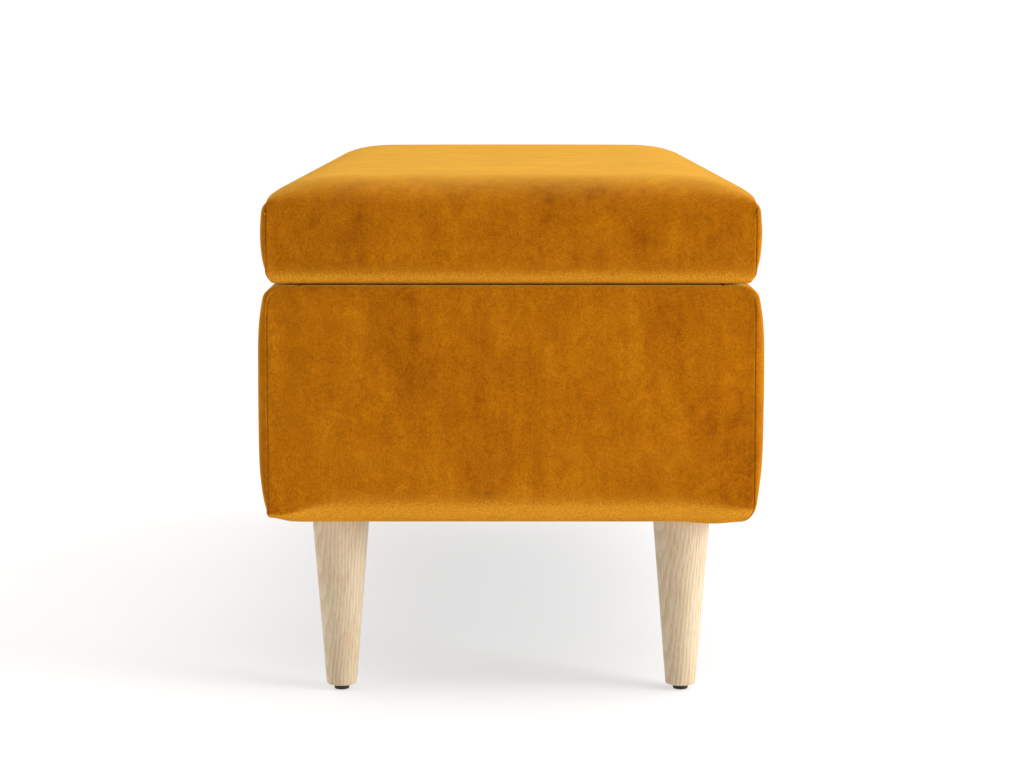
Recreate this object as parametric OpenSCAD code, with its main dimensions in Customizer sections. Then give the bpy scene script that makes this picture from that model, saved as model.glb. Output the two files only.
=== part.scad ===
// Storage ottoman: an upholstered bench box on four tapered legs, with a padded lid that is
// hinged along one long side and held open by two gas struts.
// X runs along the length, Y from front to hinge side, Z up. The origin is on the floor, in
// the middle of the plan. Everything is in millimetres, with the lid closed.

/* [Size] */
// Length over the two end panels
ottoman_l = 1000; // [900:10:1200]
// Depth over the crest of the two padded long sides
ottoman_d = 450; // [440:5:500]
// Height to the crown of the lid
ottoman_h = 470; // [465:1:480]

/* [Box] */
// Height of the underside of the box above the floor
floor_gap = 165; // [140:5:180]
// Height of the upholstered box
box_h = 210; // [190:5:230]
// Thickness of the plywood walls of the box
wall_t = 15; // [12:1:18]
// Thickness of the plywood base
base_t = 18; // [15:1:18]
// Padding and cover on a long side, at its crest
side_pad_t = 20; // [18:1:24]
// Padding and cover on an end
end_pad_t = 12; // [10:1:14]
// Thickness of the velvet with its backing
cover_t = 2; // [1.5:0.5:2]
// How far the velvet turns down inside the rim
rim_turn_in = 25; // [20:5:40]
// Thickness of the storage floor panel
floor_panel_t = 3; // [3:1:5]
// Thickness of the black lining cloth
lining_t = 1; // [0.5:0.5:1]

/* [Lid] */
// Gap between the closed lid and the box
lid_gap = 2.4; // [2.4:0.1:4]
// Thickness of the plywood lid board
lid_board_t = 15; // [12:1:18]
// Rise of the lid's top from its edges to its middle
lid_crown = 6; // [3:1:8]
// Thickness of the soft wadding layer at the lid's edge
wadding_t = 8; // [6:1:10]

/* [Legs] */
// Diameter of a leg at the top
leg_top_d = 53; // [45:1:55]
// Diameter of a leg at the bottom
leg_bottom_d = 27.6; // [24:0.2:32]
// Distance from the end of the ottoman to a leg's axis
leg_from_end = 60; // [55:5:90]
// Distance from the middle of the ottoman to a leg's axis, across the depth
leg_half_spacing = 155; // [140:5:155]
// Diameter of the glide under a leg
glide_d = 13.7; // [12:0.1:20]
// Height of the glide
glide_h = 5; // [4:0.5:6]

/* [Hinges] */
// Distance from the middle of the ottoman to each hinge
hinge_x = 300; // [200:10:380]
// Length of a hinge
hinge_l = 70; // [60:5:90]
// Thickness of a hinge leaf
leaf_t = 1.1; // [1:0.05:1.1]
// Radius of the hinge knuckles
knuckle_r = 3.2; // [3:0.1:3.3]
// Radius of the hinge pin
hinge_pin_r = 1.5; // [1.2:0.1:1.6]
// Angle to which the struts let the lid open
lid_travel = 80; // [70:1:85]

/* [Gas struts] */
// Distance from the inside of an end wall to a strut's axis
strut_from_wall = 18; // [18:1:24]
// Strut's lid stud: distance in front of the hinge axis
lid_stud_reach = 210; // [200:1:220]
// Strut's lid stud: distance below the hinge axis
lid_stud_drop = 14; // [13:1:16]
// Strut's box stud: distance in front of the hinge axis
box_stud_reach = 40; // [40:1:44]
// Strut's box stud: distance below the hinge axis
box_stud_drop = 35; // [33:1:38]
// Outer radius of the strut's tube
tube_r = 7.5; // [7:0.5:7.5]
// Radius of the strut's rod
rod_r = 3; // [2.5:0.5:3.5]

/* [Fasteners] */
// Shank radius of the screws that join the plywood
wood_screw_r = 2; // [1.5:0.25:2.25]
// Shank radius of the screws that hold the hinges and brackets
fitting_screw_r = 1.6; // [1.4:0.1:1.8]
// Radius of the leg bolts
leg_bolt_r = 4; // [3:0.5:4]

/* [Hidden] */

$fn = 48;
left = -1;
right = 1;
front = -1;
back = 1;
// Clearance that keeps a cutting shape from ending on the face it cuts
over = 1;
// Running clearance, on the radius, of every pin in its eye
running = 0.05;

// The box, from the floor up
box_z0 = floor_gap;
box_z1 = floor_gap + box_h;
half_l = ottoman_l / 2;
half_d = ottoman_d / 2;
side_bulge = 6.8;
end_bulge = 0.8;
wall_x = half_l - end_pad_t;
wall_y = half_d - side_pad_t;
well_x = wall_x - wall_t;
well_y = wall_y - wall_t;
base_z0 = box_z0 + cover_t;
wall_z0 = base_z0 + base_t;
wall_z1 = box_z1 - cover_t;
well_floor_z = wall_z0 + floor_panel_t + lining_t;

// The lid, from its underside up
lid_z0 = box_z1 + lid_gap;
lid_z1 = ottoman_h - lid_crown;
lid_board_z0 = lid_z0 + cover_t;
lid_board_z1 = lid_board_z0 + lid_board_t;
lid_board_margin = 2;
lid_bulge = 5.5;

// Outline steps: points along a padded side, along the crown and in a rounded edge
side_steps = 10;
crown_steps = 12;
edge_steps = 6;

// Where the end panel's seams run, and how the panel's upper corners are rounded
seam_y = half_d - side_bulge - 1;
panel_corner_r = 18;
// Windows that the covers leave open under the box and under the lid
underside_window = [half_l - 30, wall_y - 19];
lid_window = [half_l - 32, wall_y - 19];

// Hinges: the axis lies in the gap, in the groove between the rounded edges
hinge_y = half_d - 9;
hinge_z = box_z1 + lid_gap / 2;
knuckles = 5;
knuckle_gap = 0.3;
knuckle_l = hinge_l / knuckles;
knuckle_relief = 0.4;
leaf_root = 1;
box_leaf_width = 25;
lid_leaf_width = 44;
hinge_screw_from_middle = 24;
box_leaf_screw_y = wall_y - wall_t / 2;
lid_leaf_screw_y = wall_y - 26;

// Gas struts
strut_x = well_x - strut_from_wall;
box_stud = [hinge_y - box_stud_reach, hinge_z - box_stud_drop];
lid_stud = [hinge_y - lid_stud_reach, hinge_z - lid_stud_drop];
strut_closed_l = norm(lid_stud - box_stud);
strut_pitch = atan2(lid_stud[1] - box_stud[1], box_stud[0] - lid_stud[0]);
opened_stud = [
    lid_stud_reach * cos(lid_travel) + lid_stud_drop * sin(lid_travel),
    lid_stud_reach * sin(lid_travel) - lid_stud_drop * cos(lid_travel)
];
strut_open_l = norm(opened_stud - [box_stud_reach, -box_stud_drop]);
strut_stroke = strut_open_l - strut_closed_l;
bore_r = tube_r - 1.1;
eye_r = 7;
eye_w = 8;
stud_r = 4;
neck_r = 3.8;
neck_end = 12;
tube_start = neck_end;
tube_end = strut_closed_l - neck_end - 4;
tube_plug = 4;
gland_l = 10;
spigot_r = 3;
spigot_l = 3.5;
piston_l = 8;
piston_top = tube_end - gland_l - strut_stroke - 3;
plate_t = 1.5;
stud_head_r = 5.5;
stud_head_t = 1.5;
side_play = 0.3;
lid_plate_t = 2;
lid_plate_x = strut_x + tube_r + 1;
lid_plate_half = 15;
lid_plate_drop = lid_stud_drop + 20;
lid_foot_w = 24.5;
stud_stand_off = 0.5;

// Fasteners
glide_shank_r = 2.5;
glide_shank_l = 20;
leg_z1 = box_z0 + lining_t;
bolt_in_leg = 35;
tee_flange_r = 11;
tee_flange_t = 1.5;
tee_barrel_r = 5.5;
recess_w = 0.9;
staple_pitch = 80;
staple_wire = 0.7;
staple_crown = 10;
staple_leg = 6;

velvet = "#b06a0e";
velvet_side = "#b87012";
plywood = "#c9a777";
foam = "#efe3c2";
ash = "#cfbb9d";
zinc = "#a9adb0";
black_cloth = "#222224";
black_paint = "#1b1b1d";

function mirrored(points) = [for (i = [len(points) - 1 : -1 : 0]) [-points[i][0], points[i][1]]];

function arc(centre, r, from, to) = [
    for (i = [0 : edge_steps]) let (a = from + (to - from) * i / edge_steps)
        centre + r * [cos(a), sin(a)]
];

// Right half of a padded block's cross-section, from its underside up and round to its top.
// low and high hold the half-width and the edge radius at the bottom and at the top.
function padded_half(low, high, z0, z1, bulge, inset) = concat(
    arc([low[0] - low[1], z0 + low[1]], low[1] - inset, -90, 0),
    [for (i = [1 : side_steps - 1]) let (t = i / side_steps) [
        low[0] + (high[0] - low[0]) * t + bulge * sin(180 * t) - inset,
        z0 + low[1] + (z1 - high[1] - z0 - low[1]) * t
    ]],
    arc([high[0] - high[1], z1 - high[1]], high[1] - inset, 0, 90)
);

function crown_points(half_w, z, rise) = rise == 0 ? [] : [
    for (i = [1 : crown_steps - 1]) let (t = 1 - 2 * i / crown_steps)
        [half_w * t, z + rise * (1 - t * t)]
];

function padded_outline(low, high, z0, z1, bulge, rise, inset) =
    let (half = padded_half(low, high, z0, z1, bulge, inset))
        concat(half, crown_points(high[0] - high[1], z1 - inset, rise), mirrored(half));

// A padded block: one outline across the depth, cut by another along the length
module padded_block(across, along) {
    intersection() {
        rotate([90, 0, 90]) linear_extrude(ottoman_l + 20, center = true) polygon(across);
        rotate([90, 0, 0]) linear_extrude(ottoman_d + 20, center = true) polygon(along);
    }
}

module box_form(inset) {
    padded_block(
        padded_outline([half_d - side_bulge, 14], [half_d - side_bulge, 12],
            box_z0, box_z1, side_bulge, 0, inset),
        padded_outline([half_l - end_bulge, 18], [half_l - end_bulge, 10],
            box_z0, box_z1, end_bulge, 0, inset)
    );
}

module lid_form(inset) {
    padded_block(
        padded_outline([half_d - 7, 12], [half_d - 8, 14],
            lid_z0, lid_z1, lid_bulge, lid_crown, inset),
        padded_outline([half_l - 1, 14], [half_l - 1.5, 12],
            lid_z0, lid_z1, 1.2, lid_crown, inset)
    );
}

// A block centred on X and Y that stands between two heights
module slab(half_x, half_y, z0, z1) {
    translate([-half_x, -half_y, z0]) cube([2 * half_x, 2 * half_y, z1 - z0]);
}

// A block between two corners
module span(from, to) {
    translate(from) cube(to - from);
}

// Everything on one side of the middle, along X or along Y
module half_space_y(side) {
    translate([-ottoman_l, side < 0 ? -ottoman_d : 0, 0]) cube([2 * ottoman_l, ottoman_d, ottoman_h + 50]);
}

module half_space_x(side) {
    translate([side < 0 ? -ottoman_l : 0, -ottoman_d, 0]) cube([ottoman_l, 2 * ottoman_d, ottoman_h + 50]);
}

module at_corner(side_x, side_y) {
    translate([side_x * (half_l - leg_from_end), side_y * leg_half_spacing, 0]) children();
}

module each_corner() {
    for (side_x = [left, right], side_y = [front, back]) at_corner(side_x, side_y) children();
}

// A countersunk screw with a cross recess: its head is flush at z = 0 and its point is below
module screw(shank_r, length) {
    head_r = 2 * shank_r;
    difference() {
        union() {
            translate([0, 0, shank_r - head_r]) cylinder(h = head_r - shank_r, r1 = shank_r, r2 = head_r);
            translate([0, 0, 3 * shank_r - length]) cylinder(h = length - 3 * shank_r, r = shank_r);
            translate([0, 0, -length]) cylinder(h = 3 * shank_r, r1 = 0.3, r2 = shank_r);
        }
        for (turn = [0, 90]) rotate([0, 0, turn])
            slab(head_r * 0.6, recess_w / 2, -0.55 * head_r, over);
    }
}

// The hole that such a screw needs in a metal plate
module screw_hole(shank_r, plate) {
    head_r = 2 * shank_r;
    translate([0, 0, shank_r - head_r]) cylinder(h = head_r - shank_r, r1 = shank_r, r2 = head_r);
    translate([0, 0, -plate - over]) cylinder(h = plate + 2 * over, r = shank_r + 0.1);
}

// ---- Box frame ----

module leg_bolt_holes(r) {
    each_corner() translate([0, 0, base_z0 - over]) cylinder(h = base_t + 2 * over, r = r);
}

module base_board() {
    color(plywood) difference() {
        intersection() {
            slab(wall_x, wall_y, base_z0, wall_z0);
            box_form(cover_t);
        }
        leg_bolt_holes(tee_barrel_r);
        each_corner() translate([0, 0, wall_z0 - tee_flange_t])
            cylinder(h = tee_flange_t + over, r = tee_flange_r);
        base_screw_places() screw_drill(wood_screw_r, base_t);
    }
}

module long_wall(side) {
    y0 = side < 0 ? -wall_y : well_y;
    color(plywood) difference() {
        span([-wall_x, y0, wall_z0], [wall_x, y0 + wall_t, wall_z1]);
        wall_screw_places() screw_drill(wood_screw_r, wall_t);
    }
}

module end_wall(side) {
    x0 = side < 0 ? -wall_x : well_x;
    color(plywood) span([x0, -well_y, wall_z0], [x0 + wall_t, well_y, wall_z1]);
}

// Countersunk hole through a board, with the head flush at z = 0
module screw_drill(shank_r, board) {
    translate([0, 0, -shank_r]) cylinder(h = shank_r + 0.01, r1 = shank_r, r2 = 2 * shank_r);
    translate([0, 0, -board - over]) cylinder(h = board + over, r = shank_r);
}

// Screws through the long walls into the edges of the end walls
module wall_screw_places() {
    for (side_x = [left, right], side_y = [front, back], step = [0 : 2])
        translate([side_x * (wall_x - wall_t / 2), side_y * wall_y, wall_z0 + 30 + 64 * step])
            rotate([side_y > 0 ? -90 : 90, 0, 0]) children();
}

// Screws up through the base into the edges of the walls
module base_screw_places() {
    for (side_y = [front, back], step = [-3 : 3])
        translate([step * 140, side_y * (wall_y - wall_t / 2), base_z0]) rotate([180, 0, 0]) children();
    for (side_x = [left, right], step = [-1 : 1])
        translate([side_x * (wall_x - wall_t / 2 - 3), step * 110, base_z0]) rotate([180, 0, 0]) children();
}

module wall_screws() {
    color(zinc) wall_screw_places() screw(wood_screw_r, 45);
}

module base_screws() {
    color(zinc) base_screw_places() screw(wood_screw_r, 45);
}

// ---- Box padding and covers ----

module side_foam(side) {
    color(foam) intersection() {
        difference() {
            box_form(cover_t);
            slab(2 * half_l, wall_y, 0, ottoman_h);
        }
        slab(wall_x, half_d, 0, ottoman_h);
        half_space_y(side);
    }
}

module end_foam(side) {
    color(foam) intersection() {
        difference() {
            box_form(cover_t);
            slab(wall_x, ottoman_d, 0, ottoman_h);
        }
        half_space_x(side);
    }
}

// All the velvet of the box in one shell, open over the well and under the base
module box_skin() {
    difference() {
        box_form(0);
        box_form(cover_t);
        slab(well_x - cover_t, well_y - cover_t, wall_z1 - over, ottoman_h);
        slab(underside_window[0], underside_window[1], 0, base_z0 + over);
    }
}

// The flap that turns down inside the rim
module rim_flap() {
    difference() {
        slab(well_x, well_y, wall_z1 - rim_turn_in, wall_z1);
        slab(well_x - cover_t, well_y - cover_t, 0, ottoman_h);
    }
}

// Outline of an end panel across the depth, with rounded upper corners
function end_panel_outline() = concat(
    [[-seam_y, 0], [seam_y, 0]],
    arc([seam_y - panel_corner_r, box_z1 + 1 - panel_corner_r], panel_corner_r, 0, 90),
    mirrored(arc([seam_y - panel_corner_r, box_z1 + 1 - panel_corner_r], panel_corner_r, 0, 90))
);

module end_panel_zone(side) {
    x0 = side < 0 ? -half_l - over : well_x - cover_t;
    translate([x0, 0, 0]) rotate([90, 0, 90])
        linear_extrude(half_l + over - well_x + cover_t) polygon(end_panel_outline());
}

module side_cover(side) {
    color(velvet_side) intersection() {
        difference() {
            union() {
                box_skin();
                rim_flap();
            }
            end_panel_zone(left);
            end_panel_zone(right);
        }
        half_space_y(side);
    }
}

module end_cover(side) {
    color(velvet) intersection() {
        union() {
            box_skin();
            rim_flap();
        }
        end_panel_zone(side);
    }
}

module storage_lining() {
    color(black_cloth) difference() {
        slab(well_x, well_y, wall_z0 + floor_panel_t, wall_z1 - rim_turn_in);
        slab(well_x - lining_t, well_y - lining_t, well_floor_z, ottoman_h);
    }
}

module storage_floor() {
    color(plywood) slab(well_x, well_y, wall_z0, wall_z0 + floor_panel_t);
}

module dust_cover() {
    color(black_cloth) difference() {
        slab(underside_window[0], underside_window[1], base_z0 - lining_t, base_z0);
        translate([0, 0, -base_t / 2]) leg_bolt_holes(leg_bolt_r + 0.5);
    }
}

// One staple, crown down, with its crown along X
module staple() {
    translate([-staple_crown / 2, -staple_wire / 2, -staple_wire])
        cube([staple_crown, staple_wire, staple_wire]);
    for (end = [-1, 1]) translate([end * (staple_crown - staple_wire) / 2 - staple_wire / 2, -staple_wire / 2, 0])
        cube([staple_wire, staple_wire, staple_leg]);
}

module dust_cover_staples() {
    edge = 8;
    z = base_z0 - lining_t;
    color(zinc) {
        for (side = [front, back], step = [-5 : 5])
            translate([step * staple_pitch, side * (underside_window[1] - edge), z]) staple();
        for (side = [left, right], step = [-1 : 1])
            translate([side * (underside_window[0] - edge), step * staple_pitch, z])
                rotate([0, 0, 90]) staple();
    }
}

// ---- Legs ----

module leg() {
    edge = 1.5;
    r0 = leg_bottom_d / 2;
    r1 = leg_top_d / 2;
    color(ash) difference() {
        rotate_extrude($fn = 72) polygon(concat(
            [[0, glide_h]],
            [for (a = [-90 : 30 : 0]) [r0 - edge + edge * cos(a), glide_h + edge + edge * sin(a)]],
            [[r1, leg_z1], [0, leg_z1]]
        ));
        translate([0, 0, leg_z1 - bolt_in_leg]) cylinder(h = bolt_in_leg + over, r = leg_bolt_r);
        translate([0, 0, glide_h - over]) cylinder(h = glide_shank_l + over, r = glide_shank_r);
    }
}

// A nylon glide on a shank that is driven into the leg
module glide() {
    edge = 1.2;
    r = glide_d / 2;
    color(black_paint) rotate_extrude() polygon(concat(
        [for (a = [-90 : 30 : 0]) [r - edge + edge * cos(a), edge + edge * sin(a)]],
        [[r, glide_h], [glide_shank_r, glide_h], [glide_shank_r, glide_h + glide_shank_l]],
        [[0, glide_h + glide_shank_l], [0, 0]]
    ));
}

module leg_bolts() {
    color(zinc) each_corner() translate([0, 0, leg_z1 - bolt_in_leg])
        cylinder(h = bolt_in_leg + base_t - 2, r = leg_bolt_r);
}

module leg_tee_nuts() {
    color(zinc) each_corner() difference() {
        union() {
            translate([0, 0, base_z0 + 2]) cylinder(h = base_t - 2, r = tee_barrel_r);
            translate([0, 0, wall_z0 - tee_flange_t]) cylinder(h = tee_flange_t, r = tee_flange_r);
        }
        translate([0, 0, base_z0]) cylinder(h = base_t + over, r = leg_bolt_r);
    }
}

// ---- Hinges ----

module along_x(r, length) {
    rotate([0, 90, 0]) cylinder(h = length, r = r, center = true);
}

module knuckle_places(first) {
    for (i = [first : 2 : knuckles - 1]) translate([(i - (knuckles - 1) / 2) * knuckle_l, 0, 0]) children();
}

// A leaf in the hinge's own frame, with the axis on X: own knuckles, the other leaf's relief,
// and screw holes. The leaf lies between two heights and reaches towards -Y.
module hinge_leaf(first, width, z0, screw_y, bore, screw_turn) {
    difference() {
        union() {
            span([-hinge_l / 2, -width, z0], [hinge_l / 2, -knuckle_r - knuckle_relief, z0 + leaf_t]);
            knuckle_places(first) difference() {
                union() {
                    along_x(knuckle_r, knuckle_l - knuckle_gap);
                    span([(knuckle_gap - knuckle_l) / 2, -knuckle_r - knuckle_relief - leaf_root, z0],
                        [(knuckle_l - knuckle_gap) / 2, -bore - leaf_root / 2, z0 + leaf_t]);
                }
                along_x(bore, knuckle_l + over);
            }
        }
        for (x = [-1, 0, 1]) translate([x * hinge_screw_from_middle, screw_y, screw_turn > 0 ? z0 : z0 + leaf_t])
            rotate([screw_turn, 0, 0]) screw_hole(fitting_screw_r, leaf_t);
    }
}

module at_hinge(side) {
    translate([side * hinge_x, hinge_y, hinge_z]) children();
}

module hinge_box_leaf(side) {
    color(zinc) at_hinge(side) hinge_leaf(0, box_leaf_width, box_z1 - hinge_z,
        box_leaf_screw_y - hinge_y, hinge_pin_r, 0);
}

module hinge_lid_leaf(side) {
    color(zinc) at_hinge(side) hinge_leaf(1, lid_leaf_width, lid_z0 - leaf_t - hinge_z,
        lid_leaf_screw_y - hinge_y, hinge_pin_r + running, 180);
}

module hinge_pin(side) {
    color(zinc) at_hinge(side) along_x(hinge_pin_r, hinge_l + 1);
}

module hinge_screw_places(y, z) {
    for (side = [left, right], x = [-1, 0, 1])
        translate([side * hinge_x + x * hinge_screw_from_middle, y, z]) children();
}

module hinge_box_screws() {
    color(zinc) hinge_screw_places(box_leaf_screw_y, box_z1 + leaf_t) screw(fitting_screw_r, 20);
}

module hinge_lid_screws() {
    color(zinc) hinge_screw_places(lid_leaf_screw_y, lid_z0 - leaf_t)
        rotate([180, 0, 0]) screw(fitting_screw_r, 14);
}

// ---- Lid ----

module lid_board_form() {
    slab(wall_x - lid_board_margin, wall_y - lid_board_margin, lid_board_z0, lid_board_z1);
}

module lid_board() {
    color(plywood) intersection() {
        lid_board_form();
        lid_form(cover_t);
    }
}

module lid_foam() {
    color(foam) difference() {
        intersection() {
            lid_form(cover_t);
            slab(ottoman_l, ottoman_d, 0, lid_z1 - wadding_t);
        }
        lid_board_form();
    }
}

module lid_wadding() {
    color("#f4f1e8") intersection() {
        lid_form(cover_t);
        slab(ottoman_l, ottoman_d, lid_z1 - wadding_t, ottoman_h + over);
    }
}

module lid_skin() {
    difference() {
        lid_form(0);
        lid_form(cover_t);
        slab(lid_window[0], lid_window[1], 0, lid_board_z0 + over);
    }
}

// The band is one strip that runs up one end, over the top and down the other end
module lid_band_zone() {
    end_depth = 18;
    slab(2 * half_l, seam_y - 3, lid_z1 - 20, ottoman_h + over);
    for (side = [left, right]) intersection() {
        difference() {
            slab(2 * half_l, seam_y, 0, ottoman_h + over);
            slab(half_l - end_depth, ottoman_d, 0, 2 * ottoman_h);
        }
        half_space_x(side);
    }
}

module lid_band() {
    color(velvet) intersection() {
        lid_skin();
        lid_band_zone();
    }
}

module lid_gusset(side) {
    color(velvet_side) intersection() {
        difference() {
            lid_skin();
            lid_band_zone();
        }
        half_space_y(side);
    }
}

module lid_lining() {
    color(black_cloth) slab(lid_window[0], lid_window[1], lid_board_z0 - lining_t, lid_board_z0);
}

// ---- Gas struts ----

// A strut's own frame: origin at the box stud, +Z along the strut, X as in the ottoman
module on_strut(side) {
    translate([side * strut_x, box_stud[0], box_stud[1]]) rotate([90 - strut_pitch, 0, 0]) children();
}

// The plate against the end wall, with the stud that the strut's lower eye turns on
module strut_box_bracket(side) {
    plate_half_y = 11.5;
    plate_half_z = 20;
    x_wall = well_x - cover_t;
    color(zinc) scale_x(side) difference() {
        translate([0, box_stud[0], box_stud[1]]) {
            span([x_wall - plate_t, -plate_half_y, -plate_half_z], [x_wall, plate_half_y, plate_half_z]);
            bar_x(stud_head_r, strut_x + eye_w / 2 + side_play, x_wall - plate_t);
            bar_x(stud_r, strut_x - eye_w / 2 - side_play, x_wall);
            bar_x(stud_head_r, strut_x - eye_w / 2 - side_play - stud_head_t, strut_x - eye_w / 2 - side_play);
        }
        strut_box_screw_places(x_wall - plate_t) screw_hole(fitting_screw_r, plate_t);
    }
}

// A round bar along X between two distances from the middle
module bar_x(r, x0, x1) {
    translate([x0, 0, 0]) rotate([0, 90, 0]) cylinder(h = x1 - x0, r = r);
}

module scale_x(side) {
    if (side < 0) mirror([1, 0, 0]) children();
    else children();
}

module strut_box_screw_places(x) {
    for (dy = [-7, 7], dz = [-14, 14])
        translate([x, box_stud[0] + dy, box_stud[1] + dz]) rotate([0, -90, 0]) children();
}

module strut_box_screws() {
    color(zinc) for (side = [left, right]) scale_x(side)
        strut_box_screw_places(well_x - cover_t - plate_t) screw(fitting_screw_r, 15);
}

// The angle plate under the lid board. The strut's upper stud stands just off its upright.
module strut_lid_bracket(side) {
    y = lid_stud[0] - 3;
    color(zinc) scale_x(side) difference() {
        union() {
            span([lid_plate_x, y - lid_plate_half, hinge_z - lid_plate_drop],
                [lid_plate_x + lid_plate_t, y + lid_plate_half, lid_board_z0 - lining_t]);
            span([lid_plate_x + lid_plate_t - lid_foot_w, y - lid_plate_half, lid_board_z0 - lining_t - lid_plate_t],
                [lid_plate_x + lid_plate_t, y + lid_plate_half, lid_board_z0 - lining_t]);
        }
        strut_lid_screw_places() screw_hole(fitting_screw_r, lid_plate_t);
    }
}

module strut_lid_screw_places() {
    for (dy = [-9, 9]) translate([lid_plate_x - 12, lid_stud[0] - 3 + dy, lid_board_z0 - lining_t - lid_plate_t])
        rotate([180, 0, 0]) children();
}

module strut_lid_screws() {
    color(zinc) for (side = [left, right]) scale_x(side)
        strut_lid_screw_places() screw(fitting_screw_r, 14);
}

module strut_tube(side) {
    color(black_paint) on_strut(side) difference() {
        translate([0, 0, tube_start]) cylinder(h = tube_end - tube_start, r = tube_r);
        translate([0, 0, tube_start + tube_plug]) cylinder(h = tube_end, r = bore_r);
        cylinder(h = tube_start + spigot_l, r = spigot_r);
    }
}

// An eye on a neck: the eye's bore runs along X, and the neck runs along the strut
module strut_eye_body(bore) {
    difference() {
        union() {
            along_x(eye_r, eye_w);
            cylinder(h = neck_end, r = neck_r);
        }
        along_x(bore, eye_w + 2 * over);
    }
}

module strut_lower_eye(side) {
    color(black_paint) on_strut(side) {
        difference() {
            union() {
                strut_eye_body(stud_r + running);
                translate([0, 0, neck_end - over]) cylinder(h = spigot_l + over, r = spigot_r);
            }
            along_x(stud_r + running, eye_w + 2 * over);
        }
    }
}

module strut_gland(side) {
    color(black_paint) on_strut(side) translate([0, 0, tube_end - gland_l]) difference() {
        cylinder(h = gland_l, r = bore_r);
        translate([0, 0, -over]) cylinder(h = gland_l + 2 * over, r = rod_r + running);
    }
}

module strut_rod(side) {
    rod_end = strut_closed_l - eye_r;
    color("#d8dadc") on_strut(side) {
        translate([0, 0, piston_top - piston_l]) cylinder(h = piston_l, r = bore_r - 0.1);
        translate([0, 0, piston_top - over]) cylinder(h = rod_end - piston_top + over, r = rod_r);
    }
}

// The upper eye with its stud: the stud's flange faces the lid bracket's upright
module strut_upper_eye(side) {
    flange_x = lid_plate_x - strut_x - stud_stand_off;
    color(black_paint) on_strut(side) translate([0, 0, strut_closed_l]) scale_x(side) {
        difference() {
            union() {
                rotate([180, 0, 0]) cylinder(h = neck_end, r = neck_r);
                along_x(eye_r, eye_w);
            }
            translate([0, 0, -neck_end - over]) cylinder(h = neck_end + over - eye_r, r = rod_r);
        }
        bar_x(stud_head_r, eye_w / 2 - over, flange_x);
        bar_x(stud_head_r, -eye_w / 2 - stud_head_t, over - eye_w / 2);
    }
}

base_board();
long_wall(front);  // front_wall
long_wall(back);  // back_wall
end_wall(left);  // left_end_wall
end_wall(right);  // right_end_wall
wall_screws();
base_screws();
side_foam(front);  // front_foam
side_foam(back);  // back_foam
end_foam(left);  // left_end_foam
end_foam(right);  // right_end_foam
side_cover(front);  // front_cover
side_cover(back);  // back_cover
end_cover(left);  // left_end_cover
end_cover(right);  // right_end_cover
storage_lining();
storage_floor();
dust_cover();
dust_cover_staples();
at_corner(left, front) leg();  // leg_front_left
at_corner(right, front) leg();  // leg_front_right
at_corner(left, back) leg();  // leg_back_left
at_corner(right, back) leg();  // leg_back_right
at_corner(left, front) glide();  // glide_front_left
at_corner(right, front) glide();  // glide_front_right
at_corner(left, back) glide();  // glide_back_left
at_corner(right, back) glide();  // glide_back_right
leg_bolts();
leg_tee_nuts();
hinge_box_leaf(left);  // left_hinge_box_leaf
hinge_box_leaf(right);  // right_hinge_box_leaf
hinge_pin(left);  // left_hinge_pin
hinge_pin(right);  // right_hinge_pin
hinge_box_screws();
strut_box_bracket(left);  // left_strut_box_bracket
strut_box_bracket(right);  // right_strut_box_bracket
strut_box_screws();
lid_board();
lid_foam();
lid_wadding();
lid_band();
lid_gusset(front);  // lid_front_gusset
lid_gusset(back);  // lid_back_gusset
lid_lining();
hinge_lid_leaf(left);  // left_hinge_lid_leaf
hinge_lid_leaf(right);  // right_hinge_lid_leaf
hinge_lid_screws();
strut_lid_bracket(left);  // left_strut_lid_bracket
strut_lid_bracket(right);  // right_strut_lid_bracket
strut_lid_screws();
strut_tube(left);  // left_strut_tube
strut_tube(right);  // right_strut_tube
strut_lower_eye(left);  // left_strut_lower_eye
strut_lower_eye(right);  // right_strut_lower_eye
strut_gland(left);  // left_strut_gland
strut_gland(right);  // right_strut_gland
strut_rod(left);  // left_strut_rod
strut_rod(right);  // right_strut_rod
strut_upper_eye(left);  // left_strut_upper_eye
strut_upper_eye(right);  // right_strut_upper_eye
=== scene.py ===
"""Velvet storage ottoman: the upholstery, timber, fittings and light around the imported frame.

X runs along the ottoman, -Y is the side that lifts and +Y the hinge side. Lengths that are named
in millimetres are turned to metres by MM.
"""

import math

import bpy
import numpy as np
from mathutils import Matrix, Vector, noise


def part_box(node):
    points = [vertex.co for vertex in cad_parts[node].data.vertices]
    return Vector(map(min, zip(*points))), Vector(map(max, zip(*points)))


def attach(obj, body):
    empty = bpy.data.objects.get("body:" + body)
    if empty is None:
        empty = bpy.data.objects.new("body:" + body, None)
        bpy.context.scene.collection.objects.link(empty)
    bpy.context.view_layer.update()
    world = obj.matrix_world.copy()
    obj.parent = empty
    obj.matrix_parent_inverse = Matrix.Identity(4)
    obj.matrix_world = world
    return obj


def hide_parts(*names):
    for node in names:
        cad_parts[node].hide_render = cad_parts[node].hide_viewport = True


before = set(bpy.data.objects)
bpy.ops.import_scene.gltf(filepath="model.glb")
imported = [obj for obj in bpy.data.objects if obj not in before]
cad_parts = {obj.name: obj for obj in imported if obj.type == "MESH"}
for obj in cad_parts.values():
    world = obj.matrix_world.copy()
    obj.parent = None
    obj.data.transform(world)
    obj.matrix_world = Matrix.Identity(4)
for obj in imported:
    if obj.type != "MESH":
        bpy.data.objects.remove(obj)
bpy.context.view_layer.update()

MM = 0.001
LEFT, RIGHT = -1, 1
FRONT, BACK = -1, 1

# ---------------------------------------------------------------- sizes, from the frame

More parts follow.
